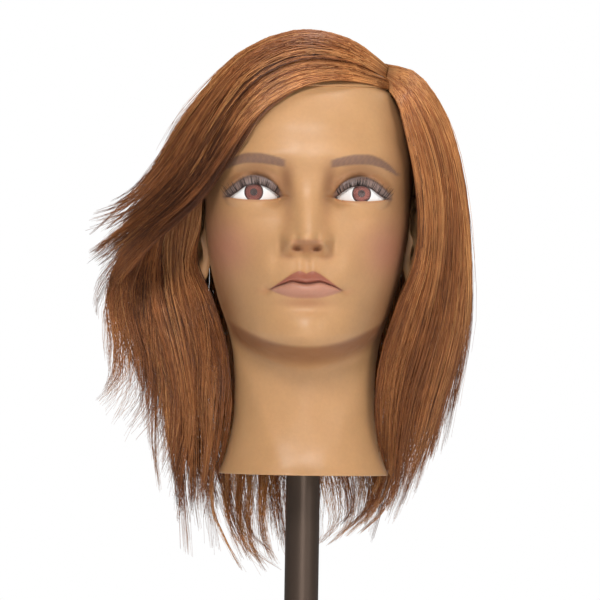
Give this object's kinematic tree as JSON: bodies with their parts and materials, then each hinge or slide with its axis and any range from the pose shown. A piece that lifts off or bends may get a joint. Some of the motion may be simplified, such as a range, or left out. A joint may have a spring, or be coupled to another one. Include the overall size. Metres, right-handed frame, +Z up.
{
  "type": "mannequin training head",
  "caption": "Vinyl hairdresser's training head with shoulder-length hair, swivelling on a tilting post held by a screw clamp for a bench edge.",
  "frame": {"origin": "where the post's axis meets the underside of the upper jaw's pad, in the plane of the bench top", "axes": "+Z up along the post, the face looks along -Y, +X towards the head's left hand side as the viewer facing it sees on the right"},
  "size_m": [0.241, 0.2371, 0.6224],
  "materials": {
    "vinyl_skin": "satin",
    "scalp_skin": "matte",
    "foam": "matte",
    "hair": "satin",
    "eye_white": "gloss",
    "iris": "gloss",
    "pupil": "gloss",
    "cornea": "gloss",
    "lash": "matte",
    "post_bronze": "satin",
    "frame_paint": "satin",
    "zinc_steel": "satin",
    "brass": "satin",
    "black_rubber": "matte",
    "black_plastic": "gloss",
    "white_plastic": "matte"
  },
  "bodies": {
    "clamp": {"clamp_frame": "frame_paint", "jaw_pad": "black_rubber", "thread_bush": "brass", "axle_bolt": "zinc_steel", "bolt_washers": "zinc_steel"},
    "post": {"post_knuckle": "frame_paint", "post_tube": "post_bronze", "set_screw": "zinc_steel", "swivel_bush": "white_plastic"},
    "lever": {"lock_lever": "frame_paint"},
    "spigot": {"swivel_spigot": "black_plastic", "grip_rings": "black_rubber", "retaining_washer": "zinc_steel", "retaining_screw": "zinc_steel"},
    "head": {"head_shell": "vinyl_skin", "scalp_cap": "scalp_skin", "foam_core": "foam", "neck_plug": "white_plastic", "socket_sleeve": "white_plastic", "eyeball_left": "eye_white", "iris_left": "iris", "pupil_left": "pupil", "cornea_left": "cornea", "lash_strip_left": "lash", "eyeball_right": "eye_white", "iris_right": "iris", "pupil_right": "pupil", "cornea_right": "cornea", "lash_strip_right": "lash", "hair_top_sweep": "hair", "hair_right_crown": "hair", "hair_left_side": "hair", "hair_right_side": "hair", "hair_back": "hair"},
    "pressure_pad": {"pressure_disc": "zinc_steel", "disc_pad": "black_rubber"},
    "spindle": {"spindle": "zinc_steel"},
    "bar": {"tommy_bar": "zinc_steel", "bar_knobs": "black_plastic"}
  },
  "joints": [
    {"name": "post_tilt", "type": "hinge", "parent": "clamp", "child": "post", "pos_m": [0, 0, 0.032], "axis": [1, 0, 0], "range_deg": [-30, 30]},
    {"name": "lever_turn", "type": "hinge", "parent": "clamp", "child": "lever", "pos_m": [0.02, 0, 0.032], "axis": [1, 0, 0], "range_deg": [0, 75]},
    {"name": "head_swivel", "type": "hinge", "parent": "post", "child": "spigot", "pos_m": [0, 0, 0.216], "axis": [0, 0, 1], "continuous": true},
    {"name": "head_lift", "type": "slide", "parent": "spigot", "child": "head", "axis": [0, 0, 1], "range_m": [0, 0.11]},
    {"name": "pad_travel", "type": "slide", "parent": "clamp", "child": "pressure_pad", "axis": [0, 0, 1], "range_m": [-0.0271, 0.0241]},
    {"name": "spindle_turn", "type": "hinge", "parent": "pressure_pad", "child": "spindle", "pos_m": [0, 0, -0.1], "axis": [0, 0, 1], "range_deg": [-3240, 2880]},
    {"name": "bar_slide", "type": "slide", "parent": "spindle", "child": "bar", "axis": [1, 0, 0], "range_m": [-0.027, 0.027]}
  ],
  "couplings": [
    {"joint": "pad_travel", "follows": "spindle_turn", "m_per_rad": 0.00047746}
  ]
}
